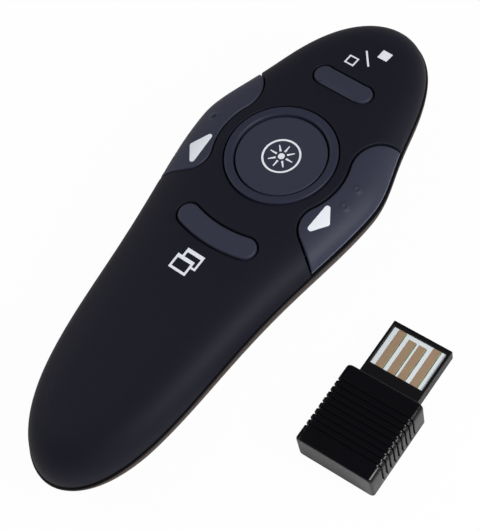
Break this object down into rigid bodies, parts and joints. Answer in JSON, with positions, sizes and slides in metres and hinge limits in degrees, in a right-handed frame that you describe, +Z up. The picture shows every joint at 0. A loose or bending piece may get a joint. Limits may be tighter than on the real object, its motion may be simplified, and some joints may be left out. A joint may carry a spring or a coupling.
{
  "type": "wireless presentation clicker",
  "caption": "Hand-held presentation remote with a round laser key, wing keys, sliding battery door and a separate ribbed USB receiver.",
  "frame": {"origin": "centre of the handset's flat underside, at mid-length", "axes": "+Y towards the nose with the laser, +X to the right seen from above, +Z up through the keys"},
  "size_m": [0.0651, 0.1058, 0.022],
  "materials": {
    "upper_casing": "fine matte moulded, almost black",
    "lower_casing": "matte moulded, warm dark grey",
    "battery_cover": "matte moulded, warm dark grey",
    "ring_plastic": "satin moulded, blue grey",
    "key_plastic": "soft matte moulded, dark blue grey",
    "plunger_nylon": "moulded nylon",
    "switch_case": "stamped cover",
    "green_board": "solder mask",
    "chip_epoxy": "epoxy package",
    "plated_can": "plated can",
    "copper_track": "printed copper",
    "capacitor_ceramic": "fired ceramic",
    "barrel_brass": "turned",
    "lens_glass": "polished",
    "lead_sleeve": "sleeved wire",
    "window_tint": "polished dark red",
    "cell_wrap": "printed wrap, plain colour",
    "plated_spring": "nickel plated",
    "screw_steel": "zinc plated",
    "receiver_plastic": "fine matte moulded",
    "tray_plastic": "moulded",
    "white_mask": "white solder mask",
    "gold_pads": "gold plated pads"
  },
  "bodies": {
    "handset": {"upper_shell": "upper_casing", "lower_shell": "lower_casing", "thumb_ring": "ring_plastic", "laser_switch": "switch_case", "back_switch": "switch_case", "forward_switch": "switch_case", "blank_switch": "switch_case", "fullscreen_switch": "switch_case", "main_board": "green_board", "radio_chip": "chip_epoxy", "crystal": "plated_can", "antenna": "copper_track", "chip_capacitors": "capacitor_ceramic", "laser_barrel": "barrel_brass", "laser_lens": "lens_glass", "laser_board": "green_board", "laser_leads": "lead_sleeve", "laser_window": "window_tint", "dry_cell": "cell_wrap", "positive_contact": "plated_spring", "negative_contact": "plated_spring", "cell_spring": "plated_spring", "case_screws": "screw_steel"},
    "laser_button": {"laser_key": "key_plastic", "laser_plunger": "plunger_nylon"},
    "back_button": {"back_key": "key_plastic", "back_plunger": "plunger_nylon"},
    "forward_button": {"forward_key": "key_plastic", "forward_plunger": "plunger_nylon"},
    "blank_button": {"blank_key": "key_plastic", "blank_plunger": "plunger_nylon"},
    "fullscreen_button": {"fullscreen_key": "key_plastic", "fullscreen_plunger": "plunger_nylon"},
    "door": {"battery_door": "battery_cover"},
    "receiver": {"receiver_housing": "receiver_plastic", "receiver_cover": "receiver_plastic", "plug_tray": "tray_plastic", "receiver_board": "white_mask", "plug_contacts": "gold_pads", "receiver_chip": "chip_epoxy", "receiver_crystal": "plated_can"}
  },
  "joints": [
    {"name": "laser_press", "type": "slide", "parent": "handset", "child": "laser_button", "axis": [0, 0, -1], "range_m": [0, 0.0003], "stiffness_N_per_m": 3000},
    {"name": "back_press", "type": "slide", "parent": "handset", "child": "back_button", "axis": [0, 0, -1], "range_m": [0, 0.0003], "stiffness_N_per_m": 3000},
    {"name": "forward_press", "type": "slide", "parent": "handset", "child": "forward_button", "axis": [0, 0, -1], "range_m": [0, 0.0003], "stiffness_N_per_m": 3000},
    {"name": "blank_press", "type": "slide", "parent": "handset", "child": "blank_button", "axis": [0, 0, -1], "range_m": [0, 0.0003], "stiffness_N_per_m": 3000},
    {"name": "fullscreen_press", "type": "slide", "parent": "handset", "child": "fullscreen_button", "axis": [0, 0, -1], "range_m": [0, 0.0003], "stiffness_N_per_m": 3000},
    {"name": "door_slide", "type": "slide", "parent": "handset", "child": "door", "axis": [0, -1, 0], "range_m": [0, 0.056]},
    {"name": "receiver_lift", "type": "slide", "parent": "handset", "child": "receiver", "axis": [0, 0, 1], "range_m": [0, 0.06]}
  ]
}
